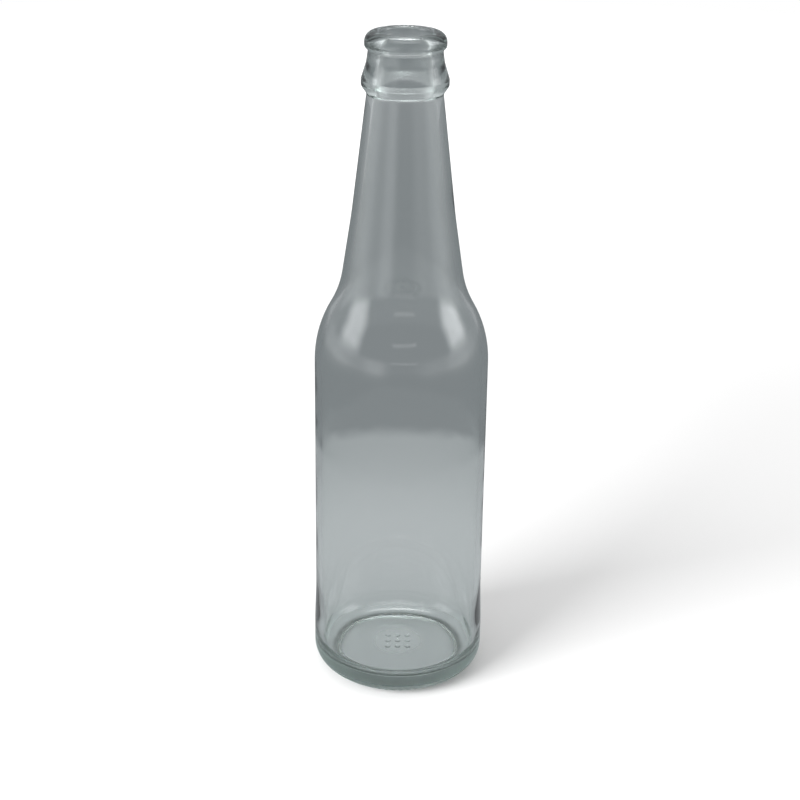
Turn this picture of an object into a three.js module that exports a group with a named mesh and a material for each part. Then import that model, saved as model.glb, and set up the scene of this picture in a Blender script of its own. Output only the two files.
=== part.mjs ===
// Long-neck beer bottle of clear glass with a crown finish, empty and open, in one piece.
// Millimetres, +Z up. The origin is the centre of the base, on the surface that the bottle stands on.
import * as THREE from "three";

// Driving dimensions
const HEIGHT = 229;
const BODY_WALL = 2.1;
const NECK_WALL = 2.6;
const BORE_RADIUS = 8.3;

// The underside stands on a narrow flat ring. A small step inside it leads up to a shallow dome.
const ring = { innerRadius: 22.9, innerRounding: 0.3, outerRadius: 24.4, outerRounding: 2 };
const step = { radius: 21.2, height: 1.9, rounding: 1 };
const pushUp = { height: 3.4, flatRadius: 10, rounding: 30 };

// The heel is the widest part, and its curve tightens towards the ring. The straight side above it,
// where a label goes, is slightly recessed.
const heel = { radius: 30.2, height: 4.1, rounding: 8, top: 17 };
const panel = { radius: 29.7, start: 31, blend: 150 };

// The shoulder turns in, turns back, and runs into a long neck with slightly hollow sides.
const shoulder = { start: 127.6, rounding: 39, endRadius: 21.2, end: 142.6, endRounding: 34 };
const neck = { middleRadius: 17.3, middle: 168.5, hollow: 186, topRadius: 12.5, top: 209.2, topRounding: 2 };

// The crown finish, with heights measured down from the top: a lip for the cap's skirt, a flared
// collar under it, and the reinforcing bead that ends it.
const lip = { radius: 13.3, rounding: 3.3, lowerEdge: 4.8, lowerRounding: 1.3 };
const collar = { radius: 12.1, below: 5.9, rounding: 1.25, flareRadius: 12.6, flare: 9.7, flareRounding: 8.3 };
const bead = { radius: 14.3, upperEdge: 15.2, lowerEdge: 17.2, rounding: 1.4 };

// The inside: a rounded mouth, a bore that opens into the neck, and a thick, softly domed floor.
const mouth = { rounding: 1.2, boreLength: 8, boreBlend: 12 };
const floor = { height: 7.4, flatRadius: 10, rounding: 60, edge: 5.2, edgeRounding: 6.5 };

// Fineness of the facets
const SIDES = 60;
const CHORD = 0.12;

// A corner of the outline: its distance from the axis, its height, and the radius that rounds it.
const corner = (radius, height, rounding = 0) => ({ at: new THREE.Vector2(radius, height), rounding });

// The arc that rounds one corner, as points no more than CHORD away from the true curve.
function roundCorner(before, middle, after) {
  const toBefore = before.at.clone().sub(middle.at).normalize();
  const toAfter = after.at.clone().sub(middle.at).normalize();
  const halfAngle = Math.acos(toBefore.dot(toAfter)) / 2;
  if (middle.rounding === 0) return [middle.at];
  const tangent = middle.rounding / Math.tan(halfAngle);
  const bisector = toBefore.clone().add(toAfter).normalize();
  const centre = middle.at.clone().addScaledVector(bisector, middle.rounding / Math.sin(halfAngle));
  const start = middle.at.clone().addScaledVector(toBefore, tangent).sub(centre);
  const turn = Math.sign(start.cross(bisector.clone().negate())) * (Math.PI - 2 * halfAngle);
  const stepAngle = 2 * Math.acos(1 - CHORD / middle.rounding);
  const steps = Math.max(1, Math.ceil(Math.abs(turn) / stepAngle));
  return Array.from({ length: steps + 1 }, (_, step) =>
    start.clone().rotateAround(new THREE.Vector2(), (turn * step) / steps).add(centre));
}

// Straight runs from corner to corner, with every corner between the ends rounded.
function roundedOutline(corners) {
  const inner = corners.slice(1, -1).flatMap((middle, i) => roundCorner(corners[i], middle, corners[i + 2]));
  return [corners[0].at, ...inner, corners.at(-1).at];
}

// The corner that lies one wall thickness inside an outer corner, with the arcs kept concentric.
function insideCorner(before, middle, after, wall) {
  const inward = (from, to) => to.at.clone().sub(from.at).normalize().rotateAround(new THREE.Vector2(), Math.PI / 2);
  const lower = inward(before, middle);
  const upper = inward(middle, after);
  const mean = lower.clone().add(upper).normalize();
  const at = middle.at.clone().addScaledVector(mean, wall / mean.dot(lower));
  const bulges = lower.cross(upper) > 0;
  return { at, rounding: middle.rounding + (bulges ? -wall : wall) };
}

function bottleCorners() {
  const underside = [
    corner(0, pushUp.height),
    corner(pushUp.flatRadius, pushUp.height, pushUp.rounding),
    corner(step.radius, step.height, step.rounding),
    corner(ring.innerRadius, 0, ring.innerRounding),
    corner(ring.outerRadius, 0, ring.outerRounding),
  ];
  const side = [
    corner(heel.radius, heel.height, heel.rounding),
    corner(heel.radius, heel.top, panel.blend),
    corner(panel.radius, panel.start, panel.blend),
    corner(panel.radius, shoulder.start, shoulder.rounding),
    corner(shoulder.endRadius, shoulder.end, shoulder.endRounding),
    corner(neck.middleRadius, neck.middle, neck.hollow),
    corner(neck.topRadius, neck.top, neck.topRounding),
  ];
  const finish = [
    corner(bead.radius, HEIGHT - bead.lowerEdge, bead.rounding),
    corner(bead.radius, HEIGHT - bead.upperEdge, bead.rounding),
    corner(collar.flareRadius, HEIGHT - collar.flare, collar.flareRounding),
    corner(collar.radius, HEIGHT - collar.below, collar.rounding),
    corner(lip.radius, HEIGHT - lip.lowerEdge, lip.lowerRounding),
    corner(lip.radius, HEIGHT, lip.rounding),
    corner(BORE_RADIUS, HEIGHT, mouth.rounding),
  ];
  const [panelTop, shoulderEnd, neckMiddle, neckTop] = side.slice(3);
  const inside = [
    corner(BORE_RADIUS, HEIGHT - mouth.boreLength, mouth.boreBlend),
    corner(neck.topRadius - NECK_WALL, neck.top, mouth.boreBlend),
    insideCorner(shoulderEnd, neckMiddle, neckTop, NECK_WALL),
    insideCorner(panelTop, shoulderEnd, neckMiddle, (BODY_WALL + NECK_WALL) / 2),
    insideCorner(side[2], panelTop, shoulderEnd, BODY_WALL),
    corner(panel.radius - BODY_WALL, floor.edge, floor.edgeRounding),
    corner(floor.flatRadius, floor.height, floor.rounding),
    corner(0, floor.height),
  ];
  return [...underside, ...side, ...finish, ...inside];
}

const glass = new THREE.MeshStandardMaterial({
  color: 0xb4c0c0,
  roughness: 0.05,
  metalness: 0,
  transparent: true,
  opacity: 0.4,
});

// The outline is turned round the bottle's own axis, then stood up along +Z.
function makeBottle() {
  const geometry = new THREE.LatheGeometry(roundedOutline(bottleCorners()), SIDES);
  geometry.rotateX(Math.PI / 2);
  const bottle = new THREE.Mesh(geometry, glass);
  bottle.name = "bottle";
  return bottle;
}

const beerBottle = new THREE.Group();
beerBottle.add(makeBottle());

export default beerBottle;
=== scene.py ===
# %% [markdown]
# # A clear glass beer bottle
# The bottle is one piece of glass, so one mesh carries the whole look: its outside, its inside and the
# thickness between them decide how light bends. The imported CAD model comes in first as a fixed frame.
# It gives the real size and place, and the fine glass is then built exactly where the plain solid stands.

# %% The frame and the CAD model's box
from math import acos, ceil, cos, pi, radians, sin

import bpy
from mathutils import Matrix, Vector


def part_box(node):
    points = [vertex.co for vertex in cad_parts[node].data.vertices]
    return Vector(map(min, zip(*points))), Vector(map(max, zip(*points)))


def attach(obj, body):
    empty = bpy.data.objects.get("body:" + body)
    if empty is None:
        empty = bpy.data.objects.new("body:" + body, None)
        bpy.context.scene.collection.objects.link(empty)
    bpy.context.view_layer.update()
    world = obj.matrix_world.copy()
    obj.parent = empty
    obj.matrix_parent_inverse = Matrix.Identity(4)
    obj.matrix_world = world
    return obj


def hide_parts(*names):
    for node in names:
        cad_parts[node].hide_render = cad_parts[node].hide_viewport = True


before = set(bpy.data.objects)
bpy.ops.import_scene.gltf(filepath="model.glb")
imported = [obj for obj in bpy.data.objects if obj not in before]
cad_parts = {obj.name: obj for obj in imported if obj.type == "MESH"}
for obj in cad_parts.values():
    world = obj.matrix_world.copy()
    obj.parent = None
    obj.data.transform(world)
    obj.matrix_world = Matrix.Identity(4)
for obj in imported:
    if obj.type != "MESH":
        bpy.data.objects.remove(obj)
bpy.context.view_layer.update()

# %% [markdown]
# ## Named sizes
# A turned shape is only as good as its outline. A bottle designer draws it as straight runs with rounded
# corners, so each corner here holds its distance from the axis, its height and its rounding. The total
# height is read from the frame. The other sizes are the bottle's own, in millimetres, as a drawing has them.

# %% Sizes of the bottle
MM = 0.001
FLOOR_LEVEL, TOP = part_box("bottle")[0].z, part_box("bottle")[1].z
HEIGHT = (TOP - FLOOR_LEVEL) / MM

BODY_WALL = 2.1
NECK_WALL = 2.6
BORE_RADIUS = 8.3

# the narrow standing ring, the step inside it, the pushed-up middle with its dots, and the heel outside
RING_INNER, RING_INNER_ROUNDING, RING_OUTER, RING_OUTER_ROUNDING = 22.9, 0.3, 24.4, 2.0
STEP_RADIUS, STEP_HEIGHT, STEP_ROUNDING = 21.2, 1.9, 1.0
PUSH_UP, PUSH_UP_FLAT, PUSH_UP_ROUNDING = 3.4, 10.0, 30.0
DOTTED_RADIUS = 6.0
HEEL_RADIUS, HEEL_HEIGHT, HEEL_ROUNDING, HEEL_TOP = 30.2, 4.1, 8.0, 17.0
PANEL_RADIUS, PANEL_START, PANEL_BLEND = 29.7, 31.0, 150.0

# the shoulder turns in, turns back and runs into a long, slightly hollow neck
SHOULDER_START, SHOULDER_ROUNDING = 127.6, 39.0
SHOULDER_END_RADIUS, SHOULDER_END, SHOULDER_END_ROUNDING = 21.2, 142.6, 34.0
NECK_MIDDLE_RADIUS, NECK_MIDDLE, NECK_HOLLOW = 17.3, 168.5, 186.0
NECK_TOP_RADIUS, NECK_TOP, NECK_TOP_ROUNDING = 12.5, 209.2, 2.0

# the crown finish, measured down from the top
LIP_RADIUS, LIP_ROUNDING, LIP_LOWER, LIP_LOWER_ROUNDING = 13.3, 3.3, 4.8, 1.3
COLLAR_RADIUS, COLLAR_BELOW, COLLAR_ROUNDING = 12.1, 5.9, 1.25
FLARE_RADIUS, FLARE_BELOW, FLARE_ROUNDING = 12.6, 9.7, 8.3
BEAD_RADIUS, BEAD_UPPER, BEAD_LOWER, BEAD_ROUNDING = 14.3, 15.2, 17.2, 1.4

# the inside: mouth, bore and floor
MOUTH_ROUNDING, BORE_LENGTH, BORE_BLEND = 1.2, 8.0, 12.0
FLOOR_HEIGHT, FLOOR_FLAT, FLOOR_ROUNDING = 7.4, 10.0, 60.0
FLOOR_EDGE, FLOOR_EDGE_ROUNDING = 5.2, 6.5

# %% Corners of the outline
OUTER_RIPPLE, WALL_RIPPLE, NO_RIPPLE = 0.03, 0.12, 0.0


def corner(radius, height, rounding=0.0, ripple=OUTER_RIPPLE):
    """One corner of the outline; ripple is how far the glass there wanders from the true form."""
    return {"at": Vector((radius, height)), "rounding": rounding, "ripple": ripple}


def inside_corner(before, middle, after, wall):
    """The corner one wall thickness inside an outer corner, with the two arcs concentric."""
    def inward(low, high):
        run = (high["at"] - low["at"]).normalized()
        return Vector((-run.y, run.x))
    lower, upper = inward(before, middle), inward(middle, after)
    mean = (lower + upper).normalized()
    bulges = lower.x * upper.y - lower.y * upper.x > 0
    rounding = middle["rounding"] - wall if bulges else middle["rounding"] + wall
    place = middle["at"] + mean * (wall / mean.dot(lower))
    return corner(place.x, place.y, rounding, WALL_RIPPLE)


underside = [
    corner(0, PUSH_UP),
    corner(DOTTED_RADIUS, PUSH_UP),
    corner(PUSH_UP_FLAT, PUSH_UP, PUSH_UP_ROUNDING),
    corner(STEP_RADIUS, STEP_HEIGHT, STEP_ROUNDING, NO_RIPPLE),
    corner(RING_INNER, 0, RING_INNER_ROUNDING, NO_RIPPLE),
    corner(RING_OUTER, 0, RING_OUTER_ROUNDING, NO_RIPPLE),
]
side = [
    corner(HEEL_RADIUS, HEEL_HEIGHT, HEEL_ROUNDING, NO_RIPPLE),
    corner(HEEL_RADIUS, HEEL_TOP, PANEL_BLEND),
    corner(PANEL_RADIUS, PANEL_START, PANEL_BLEND),
    corner(PANEL_RADIUS, SHOULDER_START, SHOULDER_ROUNDING),
    corner(SHOULDER_END_RADIUS, SHOULDER_END, SHOULDER_END_ROUNDING),
    corner(NECK_MIDDLE_RADIUS, NECK_MIDDLE, NECK_HOLLOW),
    corner(NECK_TOP_RADIUS, NECK_TOP, NECK_TOP_ROUNDING, NO_RIPPLE),
]
finish = [
    corner(BEAD_RADIUS, HEIGHT - BEAD_LOWER, BEAD_ROUNDING, NO_RIPPLE),
    corner(BEAD_RADIUS, HEIGHT - BEAD_UPPER, BEAD_ROUNDING, NO_RIPPLE),
    corner(FLARE_RADIUS, HEIGHT - FLARE_BELOW, FLARE_ROUNDING, NO_RIPPLE),
    corner(COLLAR_RADIUS, HEIGHT - COLLAR_BELOW, COLLAR_ROUNDING, NO_RIPPLE),
    corner(LIP_RADIUS, HEIGHT - LIP_LOWER, LIP_LOWER_ROUNDING, NO_RIPPLE),
    corner(LIP_RADIUS, HEIGHT, LIP_ROUNDING, NO_RIPPLE),
    corner(BORE_RADIUS, HEIGHT, MOUTH_ROUNDING, NO_RIPPLE),
]
panel_low, panel_top, shoulder_end, neck_middle, neck_top = side[2:]
inside = [
    corner(BORE_RADIUS, HEIGHT - BORE_LENGTH, BORE_BLEND, NO_RIPPLE),
    corner(NECK_TOP_RADIUS - NECK_WALL, NECK_TOP, BORE_BLEND, NO_RIPPLE),
    inside_corner(shoulder_end, neck_middle, neck_top, NECK_WALL),
    inside_corner(panel_top, shoulder_end, neck_middle, (BODY_WALL + NECK_WALL) / 2),
    inside_corner(panel_low, panel_top, shoulder_end, BODY_WALL),
    corner(PANEL_RADIUS - BODY_WALL, FLOOR_EDGE, FLOOR_EDGE_ROUNDING, WALL_RIPPLE),
    corner(FLOOR_FLAT, FLOOR_HEIGHT, FLOOR_ROUNDING, WALL_RIPPLE),
    corner(0, FLOOR_HEIGHT, 0.0, WALL_RIPPLE),
]
outline = underside + side + finish + inside
print("outline corners", len(outline))

# %% [markdown]
# ## From corners to glass
# The outline could be drawn point by point, but Geometry Nodes can round a chain of corners by itself.
# Each corner carries its rounding and its number of steps as attributes. Fillet Curve reads them, and
# Subdivide Curve then adds points along the straight runs. A grid has one row for each point of that
# outline and one column for each step round the axis, and Set Position rolls it up into the bottle.

# %% The chain of corners
STEP_ANGLE = radians(9)
STEP_LENGTH = 2.4
FEWEST_STEPS = 4


def rounding_steps(before, middle, after):
    """How many points round a corner: enough for its turn, and enough for a long arc's length."""
    arriving = (middle["at"] - before["at"]).normalized()
    leaving = (after["at"] - middle["at"]).normalized()
    turn = acos(max(-1.0, min(1.0, arriving.dot(leaving))))
    return max(FEWEST_STEPS, ceil(turn / STEP_ANGLE), ceil(turn * middle["rounding"] / STEP_LENGTH))


steps = [1] + [rounding_steps(*trio) for trio in zip(outline, outline[1:], outline[2:])] + [1]
chain = bpy.data.meshes.new("glass_bottle")
chain.from_pydata([(c["at"].x * MM, 0, FLOOR_LEVEL + c["at"].y * MM) for c in outline],
                  [(i, i + 1) for i in range(len(outline) - 1)], [])
for name, kind, values in (("rounding", "FLOAT", [c["rounding"] * MM for c in outline]),
                           ("ripple", "FLOAT", [c["ripple"] * MM for c in outline]),
                           ("steps", "INT", steps)):
    chain.attributes.new(name, kind, "POINT").data.foreach_set("value", values)
bottle = bpy.data.objects.new("glass_bottle", chain)
bpy.context.scene.collection.objects.link(bottle)
print("steps at the corners", steps)

# %% Helpers that build a node tree


def add(tree, kind, inputs=None, **settings):
    """Adds a node, sets its properties, and gives each named input a value or another node's output."""
    node = tree.nodes.new(kind)
    for name, value in settings.items():
        setattr(node, name, value)
    for name, value in (inputs or {}).items():
        if isinstance(value, bpy.types.NodeSocket):
            tree.links.new(value, node.inputs[name])
        else:
            node.inputs[name].default_value = value
    return node


def maths(tree, operation, *values):
    """A Math node's result; values are numbers or outputs."""
    return add(tree, "ShaderNodeMath", dict(enumerate(values)), operation=operation).outputs[0]


def product(tree, value, *factors):
    """The product of a few values."""
    for factor in factors:
        value = maths(tree, "MULTIPLY", value, factor)
    return value


def vectors(tree, operation, *values, **named):
    """A Vector Math node's result: a number for a length or a distance, and otherwise a vector."""
    node = add(tree, "ShaderNodeVectorMath", {**dict(enumerate(values)), **named}, operation=operation)
    return node.outputs["Value" if operation in ("LENGTH", "DISTANCE") else "Vector"]


def axes_of(tree, vector):
    """The X, Y and Z of a vector, by name."""
    return add(tree, "ShaderNodeSeparateXYZ", {0: vector}).outputs


def smooth_range(tree, value, low, high, to_low=0.0, to_high=1.0):
    """A smooth step from to_low to to_high as value goes from low to high."""
    inputs = {0: value, 1: low, 2: high, 3: to_low, 4: to_high}
    return add(tree, "ShaderNodeMapRange", inputs, interpolation_type="SMOOTHSTEP").outputs[0]


def fade(tree, value, low, high):
    """1 below low, 0 above high, and a smooth step down between them."""
    return smooth_range(tree, value, low, high, 1.0, 0.0)


# %% The tree's inputs
turning = bpy.data.node_groups.new("turn_a_bottle", "GeometryNodeTree")
turning.interface.new_socket("Geometry", in_out="INPUT", socket_type="NodeSocketGeometry")
turning.interface.new_socket("Geometry", in_out="OUTPUT", socket_type="NodeSocketGeometry")
TREE_INPUTS = {
    "Columns": ("NodeSocketInt", 300),
    "Longest Step": ("NodeSocketFloat", 3.2 * MM),
    "Finest Step": ("NodeSocketFloat", 0.4 * MM),
    "Knurls": ("NodeSocketInt", 60),
    "Knurl Depth": ("NodeSocketFloat", 0.15 * MM),
    "Dot Height": ("NodeSocketFloat", 0.2 * MM),
    "Glass": ("NodeSocketMaterial", None),
}
for name, (kind, _) in TREE_INPUTS.items():
    turning.interface.new_socket(name, in_out="INPUT", socket_type=kind)
given = turning.nodes.new("NodeGroupInput").outputs
print("tree inputs", list(TREE_INPUTS))

# %% The rounded outline, finely divided where the dots sit
FINE_EDGE = (DOTTED_RADIUS * MM, (DOTTED_RADIUS + 1) * MM)


def attribute(name, kind="FLOAT"):
    """One of the values that the corners carry."""
    return add(turning, "GeometryNodeInputNamedAttribute", {"Name": name}, data_type=kind).outputs[0]


curve = add(turning, "GeometryNodeMeshToCurve", {"Mesh": given["Geometry"]}).outputs[0]
rounded = add(turning, "GeometryNodeFilletCurve", {"Curve": curve, "Count": attribute("steps", "INT"),
                                                   "Radius": attribute("rounding")}, mode="POLY")
position = add(turning, "GeometryNodeInputPosition").outputs[0]
index = add(turning, "GeometryNodeInputIndex").outputs[0]
next_index = maths(turning, "ADD", index, 1)
next_point = add(turning, "GeometryNodeFieldAtIndex", {"Value": position, "Index": next_index},
                 data_type="FLOAT_VECTOR", domain="POINT").outputs[0]
run_length = vectors(turning, "DISTANCE", position, next_point)
longest = smooth_range(turning, axes_of(turning, position)["X"], *FINE_EDGE,
                       given["Finest Step"], given["Longest Step"])
cuts = maths(turning, "FLOOR", maths(turning, "DIVIDE", run_length, longest))
profile = add(turning, "GeometryNodeSubdivideCurve", {"Curve": rounded.outputs[0], "Cuts": cuts}).outputs[0]

# %% The grid, rolled up round the axis
# half a step more than the index keeps the division clear of rounding errors
HALF_A_STEP = 0.5

profile_size = add(turning, "GeometryNodeAttributeDomainSize", {"Geometry": profile}, component="CURVE")
rows = profile_size.outputs["Point Count"]
columns = given["Columns"]
grid = add(turning, "GeometryNodeMeshGrid",
           {"Vertices X": maths(turning, "ADD", columns, 1), "Vertices Y": rows})
column = maths(turning, "FLOOR", maths(turning, "DIVIDE", maths(turning, "ADD", index, HALF_A_STEP), rows))
row = maths(turning, "SUBTRACT", index, product(turning, column, rows))


def on_profile(value, kind):
    """A value of the outline's point that belongs to this row of the grid."""
    return add(turning, "GeometryNodeSampleIndex", {"Geometry": profile, "Value": value, "Index": row},
               data_type=kind, domain="POINT").outputs[0]


place = axes_of(turning, on_profile(position, "FLOAT_VECTOR"))
radius, height = place["X"], place["Z"]
ripple = on_profile(attribute("ripple"), "FLOAT")
angle = product(turning, column, maths(turning, "DIVIDE", 2 * pi, columns))
towards = add(turning, "ShaderNodeCombineXYZ",
              {"X": maths(turning, "COSINE", angle), "Y": maths(turning, "SINE", angle)}).outputs[0]
flat_place = vectors(turning, "SCALE", towards, Scale=radius)
upright = add(turning, "ShaderNodeCombineXYZ", {"Z": height}).outputs[0]
smooth_place = vectors(turning, "ADD", flat_place, upright)

# %% [markdown]
# ## Relief in the glass
# Real bottles aren't perfect lathe work. The standing ring is knurled so that the hot bottle touches the
# conveyor in few places, the wall's thickness wanders a little where the glass was blown against the mould,
# and small raised dots sit in the middle of the base. These could be bump maps, but glass bends light by
# its true shape, so all of them move the mesh itself.

# %% A wall that wanders, and a knurled ring
RIPPLE_SIZE, RIPPLE_DETAIL, RIPPLE_EVENNESS = 34.0, 1.0, 0.4
KNURLED_BELOW = (0.6 * MM, 1.6 * MM)
KNURLS_START, KNURLS_END = (23.0 * MM, 23.5 * MM), (24.6 * MM, 26.2 * MM)
GROOVE_SIDES = (-0.5, 0.6)

noise = add(turning, "ShaderNodeTexNoise",
            {"Vector": smooth_place, "Scale": 1 / (RIPPLE_SIZE * MM), "Detail": RIPPLE_DETAIL,
             "Roughness": RIPPLE_EVENNESS}).outputs[0]
# noise less 1 is never above 0, so the wall moves only towards the axis and stays inside the CAD model's box
wander = product(turning, ripple, maths(turning, "SUBTRACT", noise, 1.0))

near_table = fade(turning, height, *KNURLED_BELOW)
band = product(turning, smooth_range(turning, radius, *KNURLS_START), fade(turning, radius, *KNURLS_END))
bars = maths(turning, "COSINE", product(turning, angle, given["Knurls"]))
groove_depth = product(turning, smooth_range(turning, bars, *GROOVE_SIDES), given["Knurl Depth"])
knurl_lift = product(turning, product(turning, near_table, band), groove_depth)
print("knurls", TREE_INPUTS["Knurls"][1], "wander up to", WALL_RIPPLE, "mm")

# %% Dots in the middle of the underside
DOT_SPACING, DOTS_EACH_WAY = 3.6 * MM, 1
DOT_SLOPE = (0.6 * MM, 1.2 * MM)
DOTTED_BELOW = (4.0 * MM, 4.4 * MM)


def from_nearest(value, spacing, reach):
    """Distance along one direction to the nearest of a few evenly spaced places, reach of them each way."""
    nearest = product(turning, spacing, maths(turning, "ROUND", maths(turning, "DIVIDE", value, spacing)))
    held = maths(turning, "MAXIMUM", -reach * spacing, maths(turning, "MINIMUM", reach * spacing, nearest))
    return maths(turning, "SUBTRACT", value, held)


axes = axes_of(turning, flat_place)
dot_x, dot_y = (from_nearest(axes[axis], DOT_SPACING, DOTS_EACH_WAY) for axis in "XY")
dot_distance = maths(turning, "SQRT", maths(turning, "ADD", product(turning, dot_x, dot_x),
                                            product(turning, dot_y, dot_y)))
dots = product(turning, fade(turning, dot_distance, *DOT_SLOPE), fade(turning, height, *DOTTED_BELOW))
dot_drop = product(turning, dots, given["Dot Height"])
print("dots", (2 * DOTS_EACH_WAY + 1) ** 2)

# %% The bottle's last steps
SAME_POINT = 0.001 * MM

lift = add(turning, "ShaderNodeCombineXYZ", {"Z": maths(turning, "SUBTRACT", knurl_lift, dot_drop)}).outputs[0]
relief = vectors(turning, "ADD", lift, vectors(turning, "SCALE", towards, Scale=wander))
rolled = add(turning, "GeometryNodeSetPosition",
             {"Geometry": grid.outputs["Mesh"], "Position": smooth_place, "Offset": relief})
closed = add(turning, "GeometryNodeMergeByDistance", {"Geometry": rolled.outputs[0], "Distance": SAME_POINT})
shaded = add(turning, "GeometryNodeSetShadeSmooth", {"Geometry": closed.outputs[0]})
realized = add(turning, "GeometryNodeRealizeInstances", {"Geometry": shaded.outputs[0]})
coated = add(turning, "GeometryNodeSetMaterial", {"Geometry": realized.outputs[0], "Material": given["Glass"]})
add(turning, "NodeGroupOutput", {"Geometry": coated.outputs[0]})
print("nodes in the tree", len(turning.nodes))

# %% [markdown]
# ## The glass
# Clear container glass holds a trace of iron, so it looks grey-green wherever light runs far through it, as
# in the heel, the base and the lip. A tinted surface would colour the thin walls as much as the thick heel,
# so a Volume Absorption does it by thickness, as in the real thing, while the surface stays clear. Faint
# waves from the mould and a little handling haze keep the polish from looking like a computer's.
#
# A bottle that has stood on many tables isn't polished all over. Its underside and heel are scuffed, most
# of all near the ring, and the rim is slightly dull from caps. Roughness alone shows that wear. It also
# matters for the light: a polished underside would mirror the dark room into the front of the heel.

# %% The glass material
REFRACTION = 1.52
TINT, TINT_DENSITY = (0.515, 0.682, 0.618, 1), 34.0
WAVES_SCALE, WAVES_STRENGTH, WAVES_HEIGHT = 70.0, 0.06, 0.002
HAZE_SCALE, HAZE_EVENNESS, HAZE_PATCHES, HAZE_ROUGHNESS = 45.0, 0.6, (0.45, 0.75), 0.04
HEEL_EDGE, HEEL_SCUFFS, HEEL_ROUGHNESS = (25.0 * MM, 27.0 * MM), (0.5 * MM, 8.0 * MM), 0.45
UNDERSIDE_BELOW, UNDERSIDE_MIDDLE = (4.2 * MM, 4.8 * MM), (4.0 * MM, 16.0 * MM)
MIDDLE_ROUGHNESS, UNDERSIDE_ROUGHNESS = 0.18, 0.47
RIM_START, RIM_ROUGHNESS = (206.0 * MM, 209.0 * MM), 0.12

glass = bpy.data.materials.new("glass")
glass.use_nodes = True
look = glass.node_tree
look.nodes.clear()
coordinates = add(look, "ShaderNodeTexCoord").outputs["Object"]
mould_waves = add(look, "ShaderNodeTexNoise",
                  {"Vector": coordinates, "Scale": WAVES_SCALE, "Detail": 1.0}).outputs[0]
waviness = add(look, "ShaderNodeBump",
               {"Height": mould_waves, "Strength": WAVES_STRENGTH, "Distance": WAVES_HEIGHT}).outputs[0]
haze = add(look, "ShaderNodeTexNoise",
           {"Vector": coordinates, "Scale": HAZE_SCALE, "Detail": 4.0, "Roughness": HAZE_EVENNESS}).outputs[0]
hazy = smooth_range(look, haze, *HAZE_PATCHES, 0.0, HAZE_ROUGHNESS)

# %% Wear on the heel, the underside and the rim
above_table = axes_of(look, coordinates)["Z"]
from_axis = vectors(look, "LENGTH", vectors(look, "MULTIPLY", coordinates, (1, 1, 0)))
heel_scuffs = product(look, smooth_range(look, from_axis, *HEEL_EDGE),
                      smooth_range(look, above_table, *HEEL_SCUFFS, HEEL_ROUGHNESS, 0.0))
base_scuffs = product(look, fade(look, above_table, *UNDERSIDE_BELOW),
                      smooth_range(look, from_axis, *UNDERSIDE_MIDDLE, MIDDLE_ROUGHNESS, UNDERSIDE_ROUGHNESS))
scuffs = maths(look, "MAXIMUM", heel_scuffs, base_scuffs)
rubbed = smooth_range(look, above_table, *RIM_START, 0.0, RIM_ROUGHNESS)
roughness = maths(look, "ADD", maths(look, "ADD", scuffs, rubbed), hazy)

surface = add(look, "ShaderNodeBsdfPrincipled", {
    "Base Color": (1, 1, 1, 1), "Metallic": 0.0, "IOR": REFRACTION, "Transmission Weight": 1.0,
    "Roughness": roughness, "Normal": waviness})
body_tint = add(look, "ShaderNodeVolumeAbsorption", {"Color": TINT, "Density": TINT_DENSITY})
add(look, "ShaderNodeOutputMaterial", {"Surface": surface.outputs[0], "Volume": body_tint.outputs[0]})
print("nodes in the glass", len(look.nodes))

# %% Turn the bottle
modifier = bottle.modifiers.new("turn_a_bottle", "NODES")
modifier.node_group = turning
for item in turning.interface.items_tree:
    if item.in_out == "INPUT" and item.name in TREE_INPUTS:
        modifier[item.identifier] = glass if item.name == "Glass" else TREE_INPUTS[item.name][1]
evaluated = bottle.evaluated_get(bpy.context.evaluated_depsgraph_get())
turned = bpy.data.meshes.new_from_object(evaluated)
bottle.modifiers.clear()
bottle.data = turned
turned.name = "glass_bottle"
print("bottle vertices", len(turned.vertices), "faces", len(turned.polygons))

# %% The finished bottle takes the CAD solid's place
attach(bottle, "root")
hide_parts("bottle")

# %% [markdown]
# ## Camera
# The camera stands where the photographer stood: a short distance away, above the bottle and looking down
# on it, with a slight lean. The lens, distance, height and lean are the ones that make the outline fall
# on the photograph's.

# %% Camera
LENS, SENSOR, CLOSEST = 77.66, 36.0, 0.01
CAMERA_DISTANCE, CAMERA_TILT, CAMERA_LEAN = 0.59727, 22.776, 0.776
AIM = Vector((-0.000297, 0.0, 0.101836))

tilt = radians(CAMERA_TILT)
camera_data = bpy.data.cameras.new("camera")
camera_data.lens, camera_data.sensor_width = LENS, SENSOR
camera_data.clip_start = CLOSEST
camera = bpy.data.objects.new("camera", camera_data)
stand = AIM + CAMERA_DISTANCE * Vector((0, -cos(tilt), sin(tilt)))
camera.matrix_world = (Matrix.Translation(stand) @ Matrix.Rotation(pi / 2 - tilt, 4, "X")
                       @ Matrix.Rotation(radians(CAMERA_LEAN), 4, "Z"))
bpy.context.scene.collection.objects.link(camera)
bpy.context.scene.camera = camera
print("camera at", [round(c, 4) for c in stand])

# %% [markdown]
# ## Stage and light
# Around the bottle the picture is plain white, but the glass still shows the grey table and the room that
# stood round it. The floor and the world therefore answer rays that come straight from the camera with
# white, and rays that have passed through or off the glass with those greys. The table ends a little way
# out, so the neck mirrors what lies beyond its edge: soft light walls to both sides and windows above them.
#
# Each wall, window and lamp is only a range of directions with soft edges and a strength. They could be
# modelled as glowing panels, but a range of directions is easier to move until its reflection falls where
# it should. Two patches high up behind the bottle brighten the front of the lip.

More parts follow.
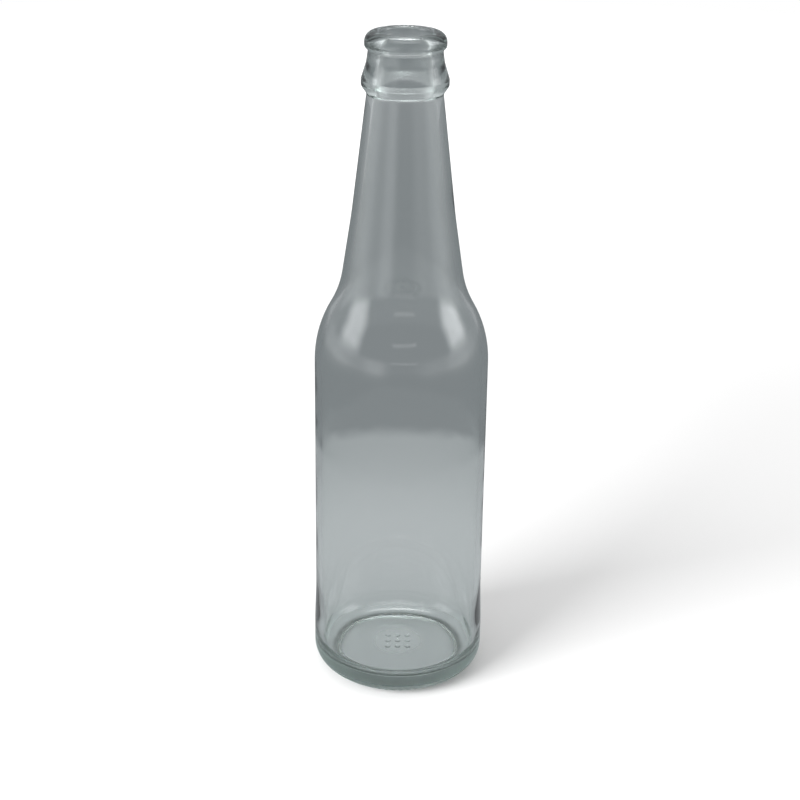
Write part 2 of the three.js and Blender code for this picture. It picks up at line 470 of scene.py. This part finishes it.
# %% What stood round the bottle
# angles in degrees: across from the camera's direction to the right, up from the horizon, and soft edges
WALLS = {
    "left wall": {"across": (-124, -18), "soft": 22, "light": 0.4},
    "left doorway": {"across": (-48, -24), "soft": 18, "light": 0.5},
    "left corner": {"across": (-104, -74), "soft": 22, "light": 0.4},
    "right wall": {"across": (26, 118), "soft": 28, "light": 0.38},
    "right corner": {"across": (66, 100), "soft": 22, "light": 0.45},
}
WALL_UP = {"up": (-14, 6), "soft_up": 8}
ABOVE = {
    "left window": {"across": (-98, -64), "soft": 16, "up": (8, 42), "soft_up": 14, "light": 2.9},
    "right window": {"across": (73, 106), "soft": 16, "up": (8, 42), "soft_up": 14, "light": 3.5},
    "left back": {"across": (-200, -108), "soft": 20, "up": (20, 50), "soft_up": 16, "light": 0.4},
    "right back": {"across": (112, 200), "soft": 20, "up": (20, 50), "soft_up": 16, "light": 0.35},
    "left rear": {"across": (-200, -140), "soft": 20, "up": (62, 84), "soft_up": 12, "light": 12.0},
    "right rear": {"across": (140, 200), "soft": 20, "up": (62, 84), "soft_up": 12, "light": 12.0},
    "ceiling": {"across": (-200, 200), "soft": 1, "up": (62, 120), "soft_up": 14, "light": 1.3},
    "ceiling lamp": {"across": (-62, 62), "soft": 30, "up": (46, 74), "soft_up": 10, "light": 1.8},
    "upper lamps": {"across": (-14, 22), "soft": 5, "up": (22.5, 25.5), "soft_up": 3, "light": 0.9},
    "lower lamps": {"across": (-14, 22), "soft": 5, "up": (4.5, 6.5), "soft_up": 3, "light": 0.7},
}


def between(tree, value, limits, soft):
    """1 inside the limits and 0 outside, with soft edges; limits and soft in degrees."""
    low, high, edge = radians(limits[0]), radians(limits[1]), radians(soft) / 2
    rising = smooth_range(tree, value, low - edge, low + edge)
    return product(tree, rising, fade(tree, value, high - edge, high + edge))


def across_of(tree, axes):
    """The direction of a place or a ray round the bottle, measured from the camera's side."""
    return maths(tree, "ARCTAN2", axes["X"], product(tree, axes["Y"], -1))


def light_of(tree, patches, across, up=None):
    """The light of all the patches in one direction."""
    total = 0.0
    for patch in patches.values():
        share = between(tree, across, patch["across"], patch["soft"])
        if up is not None:
            share = product(tree, share, between(tree, up, patch["up"], patch["soft_up"]))
        total = maths(tree, "ADD", total, product(tree, share, patch["light"]))
    return total


print("walls", len(WALLS), "patches of light above them", len(ABOVE))

# %% The stage floor
STAGE_RADIUS, STAGE_SIDES, STAGE_GAP = 1.4, 96, 0.2 * MM

corners = [2 * pi * i / STAGE_SIDES for i in range(STAGE_SIDES)]
floor_mesh = bpy.data.meshes.new("floor")
floor_mesh.from_pydata([(STAGE_RADIUS * cos(a), STAGE_RADIUS * sin(a), -STAGE_GAP) for a in corners],
                       [], [range(STAGE_SIDES)])
floor = bpy.data.objects.new("floor", floor_mesh)
bpy.context.scene.collection.objects.link(floor)
print("floor", 2 * STAGE_RADIUS, "m across")

# %% [markdown]
# ## The floor's two faces
# To the camera the floor is matt white, and further out it also glows a little, as a backdrop does that
# has lamps of its own, so that it meets the white behind it without a line. Seen through the glass it is
# the grey table with shade painted in: darker close round the bottle, with a painted shadow darkest under
# the standing ring, where hardly any light reaches it. Past the table's edge it is the room's own floor,
# which further out glows with painted wall light. Distances are in metres from the bottle's axis.

# %% The floor's paint
# the grey nearest the bottle is painted shade: the table seen through the glass darkens towards the bottle
TABLE_PAINTED_SHADE, TABLE_NEAR = (0.395, 0.425, 0.435, 1), (0.475, 0.500, 0.514, 1)
TABLE_FAR = (0.375, 0.397, 0.410, 1)
TABLE_SHADE, TABLE_FADE, TABLE_EDGE = (0.015, 0.085), (0.10, 0.200), (0.196, 0.214)
# the darkest grey is a painted shadow, a dark band on the table under the standing ring
RING_PAINTED_SHADOW, RING_PAINTED_SHADOW_START, RING_PAINTED_SHADOW_END = (0.07, 0.085, 0.08, 1), (0.0203, 0.0219), (0.0242, 0.0285)
ROOM_GREY, FAR_GREY, ROOM_FADE = (0.222, 0.240, 0.251, 1), (0.262, 0.277, 0.289, 1), (0.5, 1.2)
WALL_FOOT = (0.30, 1.35)
MATT_WHITE = (0.9, 0.9, 0.9, 1)
BACKDROP, BACKDROP_LIGHT = (0.25, 0.9), 0.4


def mix_colours(tree, share, first, second):
    """The first colour where share is 0, the second where it is 1."""
    return add(tree, "ShaderNodeMix", {0: share, 6: first, 7: second}, data_type="RGBA").outputs[2]


def add_shaders(tree, first, second):
    """The light of both shaders together."""
    return add(tree, "ShaderNodeAddShader", {0: first, 1: second}).outputs[0]


def mix_shaders(tree, share, first, second):
    """The first shader where share is 0, the second where it is 1."""
    return add(tree, "ShaderNodeMixShader", {0: share, 1: first, 2: second}).outputs[0]


paint = bpy.data.materials.new("floor")
paint.use_nodes = True
tones = paint.node_tree
tones.nodes.clear()
spot = add(tones, "ShaderNodeTexCoord").outputs["Object"]
from_bottle = vectors(tones, "LENGTH", spot)
# painted shade: the table grey darkens close round the bottle
near_table_with_painted_shade = mix_colours(tones, smooth_range(tones, from_bottle, *TABLE_SHADE), TABLE_PAINTED_SHADE, TABLE_NEAR)
table = mix_colours(tones, smooth_range(tones, from_bottle, *TABLE_FADE), near_table_with_painted_shade, TABLE_FAR)
# painted shadow: a dark band under the standing ring, seen through the glass
painted_ring_shadow = product(tones, smooth_range(tones, from_bottle, *RING_PAINTED_SHADOW_START),
                  fade(tones, from_bottle, *RING_PAINTED_SHADOW_END))
table_with_painted_shade = mix_colours(tones, painted_ring_shadow, table, RING_PAINTED_SHADOW)
room_floor = mix_colours(tones, smooth_range(tones, from_bottle, *ROOM_FADE), ROOM_GREY, FAR_GREY)
greys = mix_colours(tones, smooth_range(tones, from_bottle, *TABLE_EDGE), table_with_painted_shade, room_floor)
# painted light: further out, the floor seen through the glass glows with the walls' light
far_light = product(tones, smooth_range(tones, from_bottle, *WALL_FOOT),
                    light_of(tones, WALLS, across_of(tones, axes_of(tones, spot))))
grey_floor = add(tones, "ShaderNodeEmission", {"Color": greys}).outputs[0]
painted_wall_glow = add(tones, "ShaderNodeEmission", {"Strength": far_light}).outputs[0]
matt = add(tones, "ShaderNodeBsdfDiffuse", {"Color": MATT_WHITE}).outputs[0]
glow = smooth_range(tones, from_bottle, *BACKDROP, 0.0, BACKDROP_LIGHT)
spread = add(tones, "ShaderNodeEmission", {"Strength": glow}).outputs[0]
direct = add(tones, "ShaderNodeLightPath").outputs["Is Camera Ray"]
floor_faces = mix_shaders(tones, direct, add_shaders(tones, grey_floor, painted_wall_glow),
                          add_shaders(tones, matt, spread))
add(tones, "ShaderNodeOutputMaterial", {"Surface": floor_faces})
floor_mesh.materials.append(paint)
print("nodes in the floor", len(tones.nodes))

# %% The room that the glass mirrors
# the camera sees plain white, the floor is lit plainly, and everything else meets the room
WORLD_GREY, LAMP_COLOUR = (0.36, 0.375, 0.39, 1), (0.97, 0.985, 1, 1)
WHITE, PLAIN_LIGHT = (1, 1, 1, 1), 0.80
FIRST_BOUNCE = 0.5

world = bpy.data.worlds.new("world")
bpy.context.scene.world = world
world.use_nodes = True
world.cycles.sampling_method = "NONE"
sky = world.node_tree
sky.nodes.clear()


def background(colour, strength=1.0):
    """Light from all directions."""
    return add(sky, "ShaderNodeBackground", {"Color": colour, "Strength": strength}).outputs[0]


aimed = axes_of(sky, add(sky, "ShaderNodeTexCoord").outputs["Generated"])
across = across_of(sky, aimed)
up = maths(sky, "ARCSINE", aimed["Z"])
walls = product(sky, light_of(sky, WALLS, across), between(sky, up, WALL_UP["up"], WALL_UP["soft_up"]))
light = maths(sky, "ADD", walls, light_of(sky, ABOVE, across, up))
room = add_shaders(sky, background(WORLD_GREY), background(LAMP_COLOUR, light))
ray = add(sky, "ShaderNodeLightPath").outputs
after_floor = maths(sky, "GREATER_THAN", ray["Diffuse Depth"], FIRST_BOUNCE)
lit_room = mix_shaders(sky, after_floor, room, background(WHITE, PLAIN_LIGHT))
add(sky, "ShaderNodeOutputWorld",
    {"Surface": mix_shaders(sky, ray["Is Camera Ray"], lit_room, background(WHITE))})
print("nodes in the world", len(sky.nodes))

# %% [markdown]
# ## The shadow
# One soft lamp stands high at the front left, so the shadow falls to the back right and fades outwards. It
# is hidden from the camera and from the glass, which would otherwise show it as a hard bright square.
# Light meets many surfaces on its way through a bottle, so its paths may be longer than usual.

# %% The light that casts the shadow
KEY_WATTS, KEY_SIZE, KEY_PLACE, KEY_AIM = 26.0, 0.82, Vector((-0.94, -0.78, 0.66)), Vector((0, 0, 0.1))
LONGEST_PATH = 32

key_data = bpy.data.lights.new("key", "AREA")
key_data.size, key_data.energy = KEY_SIZE, KEY_WATTS
key = bpy.data.objects.new("key", key_data)
facing = (KEY_AIM - KEY_PLACE).to_track_quat("-Z", "Y").to_matrix().to_4x4()
key.matrix_world = Matrix.Translation(KEY_PLACE) @ facing
key.visible_camera = key.visible_glossy = key.visible_transmission = False
bpy.context.scene.collection.objects.link(key)

scene = bpy.context.scene
scene.view_settings.view_transform = "Standard"
scene.cycles.max_bounces = scene.cycles.transmission_bounces = LONGEST_PATH
print("key light", KEY_WATTS, "W,", round((KEY_AIM - KEY_PLACE).length, 3), "m away")
